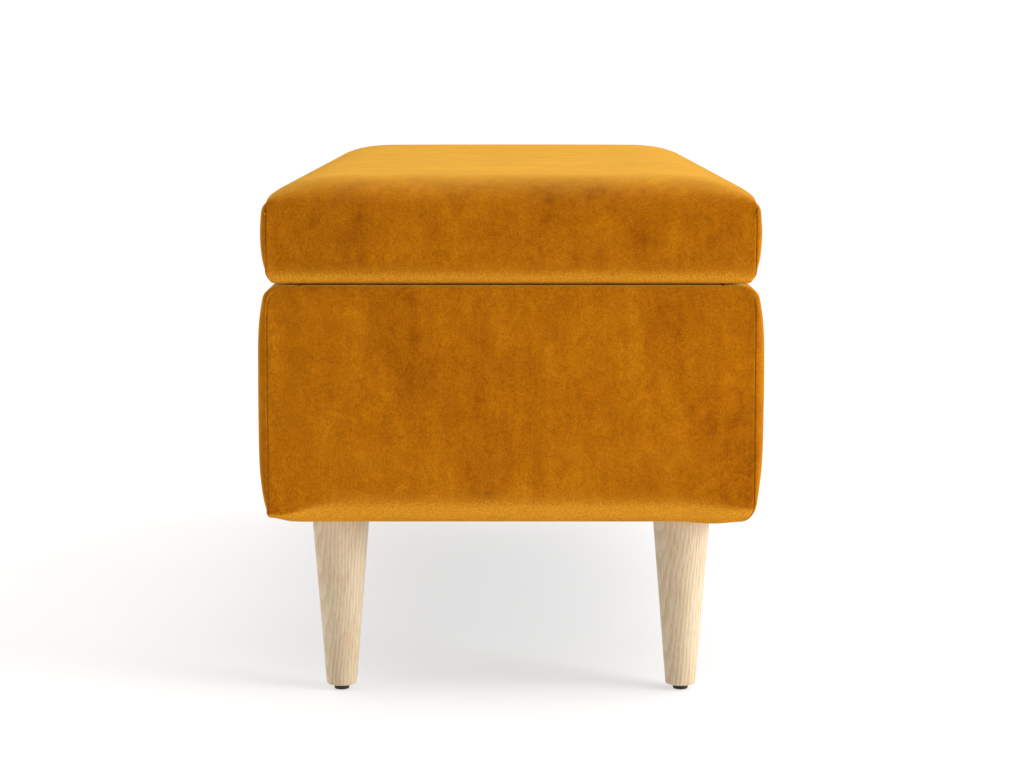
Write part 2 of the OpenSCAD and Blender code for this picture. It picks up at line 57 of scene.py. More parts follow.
box_low, box_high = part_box("front_cover")
lid_low, lid_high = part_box("lid_band")
HALF_L = box_high.x                      # half the ottoman's length
BOX_Z0, BOX_Z1 = box_low.z, box_high.z   # underside and rim of the upholstered box
LID_Z0, LID_TOP = lid_low.z, lid_high.z  # underside and crown of the lid
CROWN = 6 * MM                           # how far the lid's middle stands above its edges
LID_Z1 = LID_TOP - CROWN
SEAM_Y = 216.3 * MM                      # the corner seams stand this far from the middle
COVER_T = 1.6 * MM                       # velvet with its backing
WELL_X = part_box("storage_lining")[1].x
WELL_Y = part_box("storage_lining")[1].y
HINGE_X, HINGE_HALF = 300 * MM, 38 * MM  # place of the hinges and half the length kept clear


# ---------------------------------------------------------------- small helpers

def deselect():
    """Nothing is selected and nothing is active."""
    for obj in bpy.context.selected_objects:
        obj.select_set(False)
    bpy.context.view_layer.objects.active = None


def activate(obj):
    deselect()
    obj.select_set(True)
    bpy.context.view_layer.objects.active = obj


def apply_modifiers(obj):
    activate(obj)
    for modifier in list(obj.modifiers):
        bpy.ops.object.modifier_apply(modifier=modifier.name)


def modify(obj, kind, **settings):
    modifier = obj.modifiers.new(kind.title(), kind)
    for name, value in settings.items():
        setattr(modifier, name, value)
    return modifier


def lengths(grid, axis):
    """How far each point of a grid is along its row (axis 1) or its column (axis 0)."""
    steps = np.linalg.norm(np.diff(grid, axis=axis), axis=-1)
    first = np.zeros((len(grid), 1) if axis else (1, grid.shape[1]))
    return np.concatenate([first, np.cumsum(steps, axis=axis)], axis=axis)


def seam_distance(grid):
    """How far each point is from the nearer end of its row, where the seams are."""
    across = lengths(grid, 1)
    return np.minimum(across, across[:, [-1]] - across)


def smooth(obj, degrees=None):
    activate(obj)
    if degrees is None:
        bpy.ops.object.shade_smooth()
    else:
        bpy.ops.object.shade_smooth_by_angle(angle=math.radians(degrees))


def vertices_of(obj):
    co = np.empty(len(obj.data.vertices) * 3)
    obj.data.vertices.foreach_get("co", co)
    return co.reshape(-1, 3)


def set_vertices(obj, co):
    obj.data.vertices.foreach_set("co", np.asarray(co, float).ravel())
    obj.data.update()


# ---------------------------------------------------------------- padded panels: profiles

CELL = 11 * MM
SEAM_CELLS = 8          # the small cells beside each seam
ROLL = 1.2 * MM         # how far each panel's edge rolls in at a seam
ALLOWANCE = 3.5 * MM    # the seam allowance behind it
BOX_LOW = BOX_Z0 - 3.5 * MM  # the padding hangs this low round the box's foot
RIM_PUFF = 1.1 * MM     # how far the rim and the lid's underside swell towards each other
LID_LOW = LID_Z0 - RIM_PUFF               # how low the lid's underside comes
LID_END_IN, LID_END_UP = 7 * MM, 26 * MM  # the lower roll of the lid's ends
EDGE_IN, EDGE_DOWN, EDGE_POWER = 72 * MM, 31 * MM, 2.25  # the lid's soft upper edges
CORNER_FILL = 0.8       # how much the lid's upper corners are filled out
SEAM_SHARE = 0.935      # how far out along that soft edge the long seams run


def straight(a, b, count):
    """count values from a to b, without a."""
    return np.linspace(a, b, count + 1)[1:]


def smoothstep(t):
    t = np.clip(t, 0, 1)
    return t * t * (3 - 2 * t)


def soft_edge(t):
    """Height share of a soft upper edge, 1 where it starts and 0 at its outer side."""
    return (1 - np.clip(t, 0, 1) ** EDGE_POWER) ** (1 / EDGE_POWER)


def quarter(degrees):
    """(how far in, how far up) round a quarter ellipse, from its bottom at -90 to its side."""
    return 1 - math.cos(math.radians(degrees)), 1 + math.sin(math.radians(degrees))


PANEL_L = HALF_L - 0.6 * MM                   # the flat ends stand this far out
LID_SHOULDER = LID_TOP - EDGE_DOWN            # where the lid's sides start to turn over
EDGE_START = SEAM_Y - SEAM_SHARE * EDGE_IN    # where its flat top ends
END_START = PANEL_L - EDGE_IN                 # and the same along the lid
SEAM_RISE = EDGE_DOWN * soft_edge(SEAM_SHARE)  # the long seams' height over the shoulder


class Rows:
    """The rows of a padded block from its underside up. A row holds the inset, height and swell
    of the long side and of the end, and how far round the end the corner seam has moved."""

    def __init__(self):
        self.rows = []

    def add(self, side, end, shift=0.8):
        """side and end are (inset, height, swell), in metres."""
        self.rows.append((*side, *end, shift * MM))

    def columns(self):
        return [np.array(v)[:, None] for v in zip(*self.rows)]


def box_swell(z, low_power):
    """How far a long side of the box stands out beyond its seams."""
    middle, low, high = 280 * MM, 112 * MM, 96 * MM
    t = (middle - z) / low if z < middle else (z - middle) / high
    return 8.8 * MM * max(0, 1 - t ** (low_power if z < middle else 4.4))


def box_rows(sharp):
    """Underside, lower edge, face, upper edge, rim and the flap inside the rim. sharp makes the
    lower corner come to a small point, as where three seams meet; else it is soft."""
    side_in, side_up, power = (5 * MM, 7 * MM, 4.8) if sharp else (15 * MM, 18 * MM, 3.5)
    end_in, end_up = 20 * MM, 32 * MM
    low = BOX_LOW
    top_in, end_top, panel_corner = 12 * MM, 3.5 * MM, 19 * MM
    rows = Rows()
    for inset, z in ((34 * MM, BOX_Z0), (29 * MM, BOX_Z0 - 2 * MM), (24 * MM, low + 0.7 * MM)):
        rows.add((inset, z, 0), (inset, z, 0))
    for a in (-90, -78, -66, -54, -42, -31, -20, -10, 0):
        inward, up = quarter(a)
        z = low + side_up * up
        rows.add((side_in * inward, z, box_swell(z, power)),
                 (end_in * inward, low + end_up * up, 0))
    z0, z1 = low + side_up, BOX_Z1 - top_in
    e0, e1 = low + end_up, BOX_Z1 - end_top

    def seam_shift(z):
        rise = min(1, max(0, (z - BOX_Z1 + panel_corner) / panel_corner))
        return 0.8 + (panel_corner / MM - 0.8) * (1 - math.sqrt(1 - rise * rise))

    for t in straight(0, 1, round((e1 - e0) / CELL)):
        z = z0 + (z1 - z0) * t
        rows.add((0, z, box_swell(z, power)),
                 (0, e0 + (e1 - e0) * t, 1.2 * MM * math.sin(math.pi * t)), seam_shift(z))
    for a in straight(0, 90, 8):
        inward, up = 1 - math.cos(math.radians(a)), math.sin(math.radians(a))
        z = z1 + top_in * up
        rows.add((top_in * inward, z, box_swell(z, power)),
                 (end_top * inward, e1 + end_top * up, 0), seam_shift(z))
    inner_side, inner_end = SEAM_Y - WELL_Y, HALF_L - WELL_X
    for t in straight(0, 1, 5):
        puff = RIM_PUFF * smoothstep((t - 0.2) / 0.4) * min(1, 5 * (1 - t))
        rows.add((top_in + (inner_side - top_in) * t, BOX_Z1 + puff, 0),
                 (end_top + (inner_end - end_top) * t, BOX_Z1 + puff, 0), 19 - 14 * t)
    turn = 2 * MM
    for a in straight(0, 90, 3):
        c, s = math.cos(math.radians(a)), math.sin(math.radians(a))
        z = BOX_Z1 - turn * (1 - c)
        rows.add((inner_side + turn * s, z, 0), (inner_end + turn * s, z, 0), 3)
    for t in straight(0, 1, 3):
        z = BOX_Z1 - turn - 24 * MM * t
        rows.add((inner_side + turn, z, 0), (inner_end + turn, z, 0), 2)
    return rows



def lid_side(z):
    """Where the long side of the lid stands at a height, beyond its seam."""
    if z > LID_SHOULDER:
        t = (z - LID_SHOULDER) / EDGE_DOWN
        return EDGE_START + EDGE_IN * (1 - t ** EDGE_POWER) ** (1 / EDGE_POWER) - SEAM_Y
    t = (LID_SHOULDER - z) / (LID_SHOULDER - LID_Z0)
    return EDGE_START + EDGE_IN + 1.2 * MM * math.sin(math.pi * min(1, t / 0.6)) - SEAM_Y


def seam_height(x):
    """The long seam's height over the lid's shoulder: level, and falling at the ends."""
    share = soft_edge((np.abs(x) - END_START) / EDGE_IN)
    return SEAM_RISE * share ** (1 - CORNER_FILL * SEAM_SHARE ** 2)


def gusset_rows():
    """The long side of the lid, from its underside to its shoulder. The rows above come later."""
    rows = Rows()
    low_in, low_up, seam_in = 18 * MM, 28 * MM, 9 * MM
    for inset, puff in ((34 * MM, 0), (30 * MM, 1), (24 * MM, 1)):
        z = LID_Z0 - RIM_PUFF * puff
        rows.add((inset, z, 0), (inset, z, 0))
    for a in (-90, -80, -70, -60, -50, -40, -30, -20, -10, 0):
        inward, up = quarter(a)
        z = LID_Z0 + low_up * up
        full = lid_side(z) - low_in * inward
        seam = -seam_in * quarter(min(0, -90 + (a + 90) * 1.6))[0]
        rows.add((-seam, z, full - seam), (LID_END_IN * inward, LID_LOW + LID_END_UP * up, 0))
    for t in straight(0, 1, 4):
        z = LID_Z0 + low_up + (LID_SHOULDER - LID_Z0 - low_up) * t
        rows.add((0, z, lid_side(z)), (0, z, 0))
    return rows


def block_points(rows, along, corner="plain"):
    """A padded block's points for each row, followed round from the corner seam along its side
    (along 1) or its end (along -1), very closely spaced. The corner is at +X +Y. Its foot is
    plain, lifted to a sharp point, or soft and hanging a little."""
    side, side_z, side_swell, end, end_z, end_swell, shift = rows.columns()
    t = np.linspace(0, 1, 1200)[None, :] ** 3
    c = -shift + (PANEL_L + shift) * t if along > 0 else -shift - (SEAM_Y - shift) * t
    x = np.where(c >= 0, (PANEL_L - end) * (1 - c / PANEL_L), PANEL_L - end)
    y = np.where(c >= 0, SEAM_Y - side, (SEAM_Y - side) * (1 + c / SEAM_Y))
    turn = np.clip(c / (9 * MM), 0, 1)
    y = y + side_swell * np.sqrt(1 - (1 - turn) ** 2)
    x = x + end_swell * smoothstep(-c / (60 * MM))
    toward_end = smoothstep(-c / (70 * MM))
    z = side_z * (1 - toward_end) + end_z * toward_end
    low = 1 - smoothstep((z - BOX_LOW) / (22 * MM))
    if corner == "sharp":
        reach = 70 * MM if along > 0 else 22 * MM
        z = z + 4.3 * MM * low * (1 - smoothstep(np.abs(c) / reach))
    if corner == "soft":
        z = z - 2 * MM * low * np.exp(-((np.abs(c) - 26 * MM) / (16 * MM)) ** 2)
    return np.stack([x, y, z], axis=-1)


def evenly(points, cell=CELL):
    """Each row of closely spaced points as a few: near together by the seam, then even."""
    near = np.array([0, 0.3, 0.7, 1.2, 1.9, 3, 4.6, 6.6, 9, 12, 16]) * MM  # from the seam out
    length = lengths(points, 1)
    count = round((np.median(length[:, -1]) - near[-1]) / cell)
    out = np.empty((len(points), len(near) + count, 3))
    for i, (row, s) in enumerate(zip(points, length)):
        at = np.concatenate([near, near[-1] + straight(0, s[-1] - near[-1], count)])
        for k in range(3):
            out[i, :, k] = np.interp(at, s, row[:, k])
    return out


def join_halves(first, second):
    """Two halves that run from their seams to the same middle, as one array from seam to seam."""
    return np.concatenate([first, second[:, -2::-1]], axis=1)


def box_side_points(side, sharp):
    half = evenly(block_points(box_rows(sharp), 1, "sharp" if sharp else "soft"))
    return join_halves(half * [-1, 1, 1], half) * [1, side, 1]


def box_end_points(side):
    front = evenly(block_points(box_rows(True), -1, "sharp"))
    back = evenly(block_points(box_rows(False), -1, "soft"))
    return join_halves(front * [1, -1, 1], back) * [side, 1, 1]


def gusset_points(side):
    half = evenly(block_points(gusset_rows(), 1))
    shoulder = half[-1]
    upper = []
    for share in (0.3, 0.65, 1):
        row = shoulder.copy()
        out = EDGE_START + EDGE_IN * (1 - (share * SEAM_RISE / EDGE_DOWN) ** EDGE_POWER) ** (
            1 / EDGE_POWER) - SEAM_Y
        row[:, 1] = SEAM_Y + (shoulder[:, 1] - SEAM_Y) * out / (EDGE_START + EDGE_IN - SEAM_Y)
        row[:, 2] += share * seam_height(row[:, 0])
        upper.append(row)
    half = np.concatenate([half, np.array(upper)], axis=0)
    return join_halves(half * [-1, 1, 1], half) * [1, side, 1]


def band_points():
    """The strip up one end of the lid, over its top and down the other end. Rows follow the
    strip and columns cross it from the front seam to the back one."""
    seam_in = 9 * MM
    stations = []  # x, height of the strip's middle, seam y, share of the upper edge
    for inset, puff in ((34 * MM, 0), (30 * MM, 1), (24 * MM, 1)):
        stations.append((PANEL_L - inset, LID_Z0 - RIM_PUFF * puff, SEAM_Y - inset, 0))
    for a in (-90, -80, -70, -60, -50, -40, -30, -20, -10, 0):
        inward, up = quarter(a)
        seam = seam_in * quarter(min(0, -90 + (a + 90) * 1.6))[0]
        stations.append((PANEL_L - LID_END_IN * inward, LID_LOW + LID_END_UP * up,
                         SEAM_Y - seam, 0))
    for t in straight(0, 1, 4):
        z = LID_LOW + LID_END_UP + (LID_SHOULDER - LID_LOW - LID_END_UP) * t
        stations.append((PANEL_L + 0.8 * MM * math.sin(math.pi * t), z, SEAM_Y, 0))
    for a in straight(0, 90, 14):
        c, s = math.cos(math.radians(a)), math.sin(math.radians(a))
        stations.append((END_START + EDGE_IN * c ** (2 / EDGE_POWER), LID_SHOULDER, SEAM_Y,
                         s ** (2 / EDGE_POWER)))
    for x in straight(END_START, 0, round(END_START / CELL)):
        stations.append((x, LID_SHOULDER, SEAM_Y, 1))
    x, z, seam_y, share = (np.array(v)[:, None] for v in zip(*stations))
    t = np.linspace(0, 1, 600)[None, :]
    y = (seam_y - 0.8 * MM) * (1 - t)
    out = (y - EDGE_START) / EDGE_IN
    z = z + EDGE_DOWN * share ** (1 - CORNER_FILL * np.clip(out, 0, 1) ** 2) * soft_edge(out)
    half = evenly(np.stack([x + 0 * y, y, z + 0 * y], axis=-1))
    across = join_halves(half * [1, -1, 1], half)
    return np.concatenate([across, across[-2::-1] * [-1, 1, 1]], axis=0)


# ---------------------------------------------------------------- padded panels: the meshes

def normals_of(grid, inside):
    """Unit normals of a grid of points, pointing away from a point inside."""
    n = np.cross(np.gradient(grid, axis=0), np.gradient(grid, axis=1))
    n /= np.maximum(np.linalg.norm(n, axis=-1, keepdims=True), 1e-12)
    return -n if np.sum(n * (grid - inside)) < 0 else n


def grid_mesh(name, grid):
    """A grid primitive laid over an array of points, with its UVs in metres of flat cloth."""
    rows, cols = grid.shape[:2]
    deselect()
    bpy.ops.mesh.primitive_grid_add(x_subdivisions=cols - 1, y_subdivisions=rows - 1, size=1)
    obj = bpy.context.object
    obj.name = obj.data.name = name
    start = vertices_of(obj)
    order = np.lexsort((start[:, 0].round(6), start[:, 1].round(6)))
    co, flat = np.empty_like(start), np.empty((rows * cols, 2))
    co[order] = grid.reshape(-1, 3)
    set_vertices(obj, co)
    middle = grid[:, cols // 2]
    down = np.concatenate([[0], np.cumsum(np.linalg.norm(np.diff(middle, axis=0), axis=-1))])
    along = lengths(grid, 1)
    along -= along[:, [cols // 2]]
    flat[order] = np.stack([along, down[:, None] + 0 * along], axis=-1).reshape(-1, 2)
    loops = np.empty(len(obj.data.loops), int)
    obj.data.loops.foreach_get("vertex_index", loops)
    obj.data.uv_layers[0].data.foreach_set("uv", flat[loops].ravel())
    return obj, order


def face_outward(obj, inside):
    """Turns the faces of an open sheet so that they look away from a point inside."""
    if sum(p.normal.dot(p.center - Vector(inside)) * p.area for p in obj.data.polygons) < 0:
        activate(obj)
        bpy.ops.object.mode_set(mode="EDIT")
        bpy.ops.mesh.select_all(action="SELECT")
        bpy.ops.mesh.flip_normals()
        bpy.ops.object.mode_set(mode="OBJECT")


CLOTH_FRAMES = 20
CLOTH_REACH = 0.8 * MM  # no point of a panel moves further than this


def inflate(grid, inside, held):
    """Cloth over foam: the panel is held at its seams and wraps, the foam presses it out, and the
    slack it is given puckers it a little. No point moves further than CLOTH_REACH."""
    rows = np.unique(np.r_[np.arange(0, grid.shape[0], 2), grid.shape[0] - 1])
    cols = np.unique(np.r_[0, np.arange(SEAM_CELLS, grid.shape[1] - SEAM_CELLS),
                           grid.shape[1] - 1])
    coarse = grid[np.ix_(rows, cols)]
    obj, order = grid_mesh("cloth_trial", coarse)
    face_outward(obj, inside)
    pins = obj.vertex_groups.new(name="pins")
    weights = held[np.ix_(rows, cols)].ravel()
    for place, weight in zip(order, weights):
        if weight > 0:
            pins.add([int(place)], float(weight), "REPLACE")
    cloth = obj.modifiers.new("Cloth", "CLOTH")
    settings = cloth.settings
    settings.quality = 6
    settings.mass = 0.2
    settings.tension_stiffness = settings.compression_stiffness = 12
    settings.bending_stiffness = 0.4
    settings.shrink_min = -0.012
    settings.use_pressure = True
    settings.uniform_pressure_force = 4
    settings.vertex_group_mass = "pins"
    settings.effector_weights.gravity = 0
    cloth.point_cache.frame_start, cloth.point_cache.frame_end = 1, CLOTH_FRAMES
    for number in range(1, CLOTH_FRAMES + 1):
        bpy.context.scene.frame_set(number)
    apply_modifiers(obj)
    moved = vertices_of(obj)[order].reshape(coarse.shape) - coarse
    bpy.context.scene.frame_set(1)
    bpy.data.objects.remove(obj)
    n = normals_of(coarse, inside)
    out = np.sum(moved * n, axis=-1)
    loose = out[weights.reshape(out.shape) < 0.5]
    out = CLOTH_REACH * np.tanh((out - loose.mean()) / (1.6 * loose.std() + 1e-9))
    full = np.empty(grid.shape[:2])
    across = np.array([np.interp(np.arange(grid.shape[1]), cols, line) for line in out])
    for k in range(grid.shape[1]):
        full[:, k] = np.interp(np.arange(grid.shape[0]), rows, across[:, k])
    return grid + normals_of(grid, inside) * (full * (1 - held))[..., None]


def hold(grid, free_z):
    """How firmly each point is held: 1 at the seams and outside the heights in free_z."""
    near = 1 - smoothstep(seam_distance(grid) / (9 * MM))
    z = grid[..., 2]
    outside = 1 - smoothstep((z - free_z[0]) / (10 * MM)) * smoothstep((free_z[1] - z) / (10 * MM))
    return np.maximum(near, outside)


def panel(name, grid, inside, body, replaced, top_seam=False, fill=0.95):
    """One padded velvet panel: a sheet over its foam, rolled in and tucked away at its seams."""
    n = normals_of(grid, inside)
    from_seam = seam_distance(grid)
    if top_seam:
        up = lengths(grid, 0)
        from_seam = np.minimum(from_seam, up[[-1]] - up)
    rolled = np.clip(ROLL - from_seam, 0, ROLL)
    grid = grid - n * (ROLL - np.sqrt(ROLL ** 2 - rolled ** 2))[..., None]
    grid = np.concatenate([grid[:, [0]] - n[:, [0]] * ALLOWANCE, grid,
                           grid[:, [-1]] - n[:, [-1]] * ALLOWANCE], axis=1)
    if top_seam:
        inward = np.concatenate([n[[-1], :1], n[[-1]], n[[-1], -1:]], axis=1)
        grid = np.concatenate([grid, grid[[-1]] - inward * ALLOWANCE], axis=0)
    obj, _ = grid_mesh(name, grid)
    face_outward(obj, inside)
    modify(obj, "SOLIDIFY", thickness=COVER_T, offset=-1, use_rim=True)
    modify(obj, "SUBSURF", levels=1, render_levels=1)
    apply_modifiers(obj)
    smooth(obj)
    obj.data.materials.clear()
    obj.data.materials.append(VELVET)
    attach(obj, body)
    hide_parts(replaced)
    return obj


# ---------------------------------------------------------------- materials

def srgb(hex_code):
    """An sRGB hex colour as linear RGBA."""
    values = [int(hex_code[i:i + 2], 16) / 255 for i in (1, 3, 5)]
    return [v / 12.92 if v <= 0.04045 else ((v + 0.055) / 1.055) ** 2.4 for v in values] + [1]


def new_material(name):
    material = bpy.data.materials.new(name)
    material.use_nodes = True
    tree = material.node_tree
    shader = tree.nodes["Principled BSDF"]
    return material, tree, shader


def add(tree, kind, inputs=None, **settings):
    """A node with its settings. inputs gives a socket a value or another node's output."""
    node = tree.nodes.new("ShaderNode" + kind)
    for name, value in settings.items():
        setattr(node, name, value)
    for name, value in (inputs or {}).items():
        socket = node.inputs[name]
        if isinstance(value, bpy.types.NodeSocket):
            tree.links.new(value, socket)
        else:
            socket.default_value = value
    return node


def ramp(tree, factor, stops):
    """A colour ramp from (place, colour) stops; a colour is a hex code or a grey level."""
    node = add(tree, "ValToRGB", {"Fac": factor})
    elements = node.color_ramp.elements
    while len(elements) < len(stops):
        elements.new(1)
    for element, (place, colour) in zip(elements, stops):
        element.position = place
        element.color = srgb(colour) if isinstance(colour, str) else (colour, colour, colour, 1)
    return node.outputs["Color"]


def noise_fac(tree, vector, scale, detail=3, rough=0.5, distortion=0.0):
    return add(tree, "TexNoise", {"Vector": vector, "Scale": scale, "Detail": detail,
                                  "Roughness": rough, "Distortion": distortion}).outputs["Fac"]


def math_node(tree, operation, a, b=0.5, c=0.5):
    return add(tree, "Math", {0: a, 1: b, 2: c}, operation=operation).outputs[0]


def remap(tree, value, from_min, from_max, to_min, to_max, curve="LINEAR"):
    return add(tree, "MapRange", {"Value": value, "From Min": from_min, "From Max": from_max,
                                  "To Min": to_min, "To Max": to_max},
               interpolation_type=curve).outputs[0]


def bump_shader(tree, shader, height, strength, distance):
    bump = add(tree, "Bump", {"Height": height, "Strength": strength, "Distance": distance})
    tree.links.new(bump.outputs["Normal"], shader.inputs["Normal"])


def settings(shader, **values):
    """Constant settings straight on the shader: rough, specular, metal, sheen and so on."""
    names = {"colour": "Base Color", "rough": "Roughness", "specular": "Specular IOR Level",
             "metal": "Metallic", "sheen": "Sheen Weight", "sheen_rough": "Sheen Roughness",
             "tint": "Sheen Tint", "coat": "Coat Weight", "coat_rough": "Coat Roughness"}
    for name, value in values.items():
        shader.inputs[names[name]].default_value = srgb(value) if isinstance(value, str) else value


def velvet_material():
    """Short-pile cotton velvet, mustard, sheared and brushed. The pile leans in patches of 2 to
    8 cm and in brushed strokes, so the same mustard reads lighter or darker; tufts of 1 to 2 mm
    give it its grain. Where the cloth faces downwards a paler colour is painted in, as painted
    light from below; the cloth lights up where it is seen edge-on."""
    material, tree, shader = new_material("mustard_cotton_velvet")
    place = add(tree, "TexCoord").outputs["Object"]
    leaning = add(tree, "Mapping", {"Vector": place, "Rotation": (0.5, 0.6, 0.3),
                                    "Scale": (1, 1, 0.45)}).outputs["Vector"]
    patches = noise_fac(tree, leaning, 16, 5, 0.6, 0.7)
    blots = noise_fac(tree, place, 48, 4, 0.62, 1.2)
    strokes = noise_fac(tree, add(tree, "Mapping", {"Vector": place, "Rotation": (0.35, 0, 0),
                                                    "Scale": (6, 6, 1)}).outputs[0], 14, 3, 0.6)
    tufts = noise_fac(tree, place, 620, 3, 0.65)
    lean = math_node(tree, "MULTIPLY", patches, 0.5)
    lean = math_node(tree, "MULTIPLY_ADD", blots, 0.32, lean)
    lean = math_node(tree, "MULTIPLY_ADD", strokes, 0.18, lean)
    dye_and_painted_light = ramp(tree, lean, [(0.36, "#8a4801"), (0.45, "#9e5803"), (0.54, "#a86104"),
                            (0.64, "#b66e08")])
    # Painted light: where the cloth's normal points downwards, the colour is mixed towards a paler
    # #c8851f, as painted light from below on the undersides; this fades to a fifth where the cloth
    # faces straight down.
    facing = add(tree, "SeparateXYZ", {0: add(tree, "TexCoord").outputs["Normal"]}).outputs["Z"]
    painted_underside_light = remap(tree, facing, -0.01, -0.36, 0, 1, "SMOOTHSTEP")
    below = remap(tree, facing, -0.5, -1, 1, 0.2, "SMOOTHSTEP")
    painted_underside_light = math_node(tree, "MULTIPLY", painted_underside_light, below)
    dye_and_painted_light = add(tree, "Mix", {0: painted_underside_light, 6: dye_and_painted_light, 7: srgb("#c8851f")}, data_type="RGBA").outputs[2]
    grain = remap(tree, tufts, 0.3, 0.7, 0.7, 1.3)
    colour = add(tree, "Mix", {0: 1, 6: dye_and_painted_light, 7: grain}, data_type="RGBA", blend_type="MULTIPLY")
    tree.links.new(colour.outputs[2], shader.inputs["Base Color"])
    tree.links.new(remap(tree, lean, 0.35, 0.65, 0.98, 0.88), shader.inputs["Roughness"])
    height = math_node(tree, "MULTIPLY", tufts, 0.3)
    height = math_node(tree, "MULTIPLY_ADD", lean, 1.2, height)
    bump_shader(tree, shader, height, 0.3, 0.0012)
    settings(shader, specular=0.04, sheen=0.66, sheen_rough=0.46, tint="#ffcc50")
    return material


def mottled_material(name, low, high, scale, rough=0.9, bump=0.3, **constant):
    """A surface with a fine mottle: pressed fibre, foam cells, cast plastic or powder coat."""
    material, tree, shader = new_material(name)
    place = add(tree, "TexCoord").outputs["Object"]
    mottle = noise_fac(tree, place, scale, 4, 0.7)
    tree.links.new(ramp(tree, mottle, [(0.35, low), (0.68, high)]), shader.inputs["Base Color"])
    bump_shader(tree, shader, mottle, bump, 0.0003)
    settings(shader, rough=rough, **constant)
    return material


def metal_material(name, low, high, rough, brush=(1, 1, 1)):
    """Plated or polished steel: faint cloudiness in its colour and its polish."""
    material, tree, shader = new_material(name)
    place = add(tree, "TexCoord").outputs["Object"]
    drawn = add(tree, "Mapping", {"Vector": place, "Scale": brush}).outputs["Vector"]
    cloud = noise_fac(tree, drawn, 260, 4, 0.65)
    tree.links.new(ramp(tree, cloud, [(0.3, low), (0.7, high)]), shader.inputs["Base Color"])
    tree.links.new(remap(tree, cloud, 0.3, 0.7, rough * 0.8, rough * 1.25),
                   shader.inputs["Roughness"])
    settings(shader, metal=1.0)
    return material


def ash_material():
    """Pale ash, matt lacquered. The growth rings stand nearly on edge, so they run down the leg
    as fine wavy lines 2 to 4 mm apart, with dark dashes where the pores are cut."""
    material, tree, shader = new_material("pale_ash_matt_lacquer")
    place = add(tree, "TexCoord").outputs["Object"]
    log = add(tree, "Mapping", {"Vector": place, "Rotation": (0.05, 0.03, 1.15)}).outputs[0]
    slow = add(tree, "Mapping", {"Vector": place, "Scale": (1, 1, 0.3)}).outputs[0]
    across = add(tree, "SeparateXYZ", {"Vector": log}).outputs["X"]
    sway = noise_fac(tree, slow, 26, 3, 0.5)
    rings = math_node(tree, "MULTIPLY", across, 1 / (3.4 * MM))
    rings = math_node(tree, "MULTIPLY_ADD", sway, 4.0, rings)
    saw = math_node(tree, "FRACT", rings)
    late = remap(tree, saw, 0, 1, 0, 1, "SMOOTHERSTEP")
    fibres = add(tree, "Mapping", {"Vector": place, "Scale": (1, 1, 0.045)}).outputs[0]
    fibre = noise_fac(tree, fibres, 750, 3, 0.6)
    pores = remap(tree, noise_fac(tree, fibres, 1500, 1, 0.5), 0.6, 0.75, 0, 1)
    tone = noise_fac(tree, slow, 40, 2, 0.5)
    value = math_node(tree, "MULTIPLY", late, 0.16)
    value = math_node(tree, "MULTIPLY_ADD", fibre, 0.6, value)
    value = math_node(tree, "MULTIPLY_ADD", tone, 0.35, value)
    value = math_node(tree, "MULTIPLY_ADD", pores, 0.12, value)
    stops = [(0.3, "#dccbb0"), (0.5, "#d1bd9e"), (0.68, "#c3aa88"), (0.95, "#a68a68")]
    tree.links.new(ramp(tree, value, stops), shader.inputs["Base Color"])
    bump_shader(tree, shader, value, 0.1, 0.0002)
    settings(shader, rough=0.5, specular=0.35)
    return material


def plywood_material():
    """Birch plywood, sanded: slow figure along the sheet on its faces, and thin light and dark
    plies 1.5 mm apart on its cut edges."""
    material, tree, shader = new_material("birch_plywood_sanded")
    coords = add(tree, "TexCoord").outputs["Object"]
    sheet = add(tree, "Mapping", {"Vector": coords, "Scale": (0.12, 1, 1)}).outputs[0]
    figure = noise_fac(tree, sheet, 60, 5, 0.6, 1.5)
    fibre = noise_fac(tree, sheet, 900, 2, 0.6)
    value = math_node(tree, "MULTIPLY", figure, 0.7)
    value = math_node(tree, "MULTIPLY_ADD", fibre, 0.3, value)
    tree.links.new(ramp(tree, value, [(0.3, "#dcc398"), (0.55, "#cfb184"), (0.75, "#b9966a")]),
                   shader.inputs["Base Color"])
    bump_shader(tree, shader, value, 0.15, 0.0003)
    settings(shader, rough=0.7, specular=0.3)
    return material


VELVET = velvet_material()
MATERIALS = {
    "lining_cloth": mottled_material("black_nonwoven_lining", "#17171a", "#2b2c30", 700, sheen=0.1),
    "foam": mottled_material("cut_polyurethane_foam", "#d8cfae", "#e6dfc4", 900),
    "wadding": mottled_material("polyester_wadding", "#e2e2de", "#f2f2ee", 250, bump=0.6),
    "hardboard": mottled_material("brown_hardboard", "#6d4a2c", "#80593a", 500, rough=0.6),
    "glide_nylon": mottled_material("black_moulded_nylon", "#19191a", "#232324", 1200, rough=0.5,
                                    bump=0.1, specular=0.4),
    "strut_plastic": mottled_material("black_glass_filled_nylon", "#151516", "#202022", 900,
                                      rough=0.45, bump=0.1, specular=0.45),
    "strut_enamel": mottled_material("black_baked_enamel", "#0e0e0f", "#151516", 400, rough=0.28,
                                     bump=0.03, specular=0.5),
    "bracket_steel": mottled_material("black_powder_coated_steel", "#161617", "#222224", 1500,
                                      rough=0.5, bump=0.15, specular=0.45),
    "zinc_steel": metal_material("zinc_plated_steel", "#b4b6b4", "#d2d4d6", 0.34),
    "hinge_steel": metal_material("nickel_plated_steel", "#b9b4aa", "#d6d2c8", 0.28, (0.1, 1, 1)),
    "rod_chrome": metal_material("hard_chromed_rod", "#c9cccf", "#e2e4e6", 0.12, (1, 0.1, 0.1)),
    "pale_ash": ash_material(),
    "plywood": plywood_material(),
}
FOAM, WADDING, LINING = (MATERIALS[k] for k in ("foam", "wadding", "lining_cloth"))


# ---------------------------------------------------------------- the upholstery

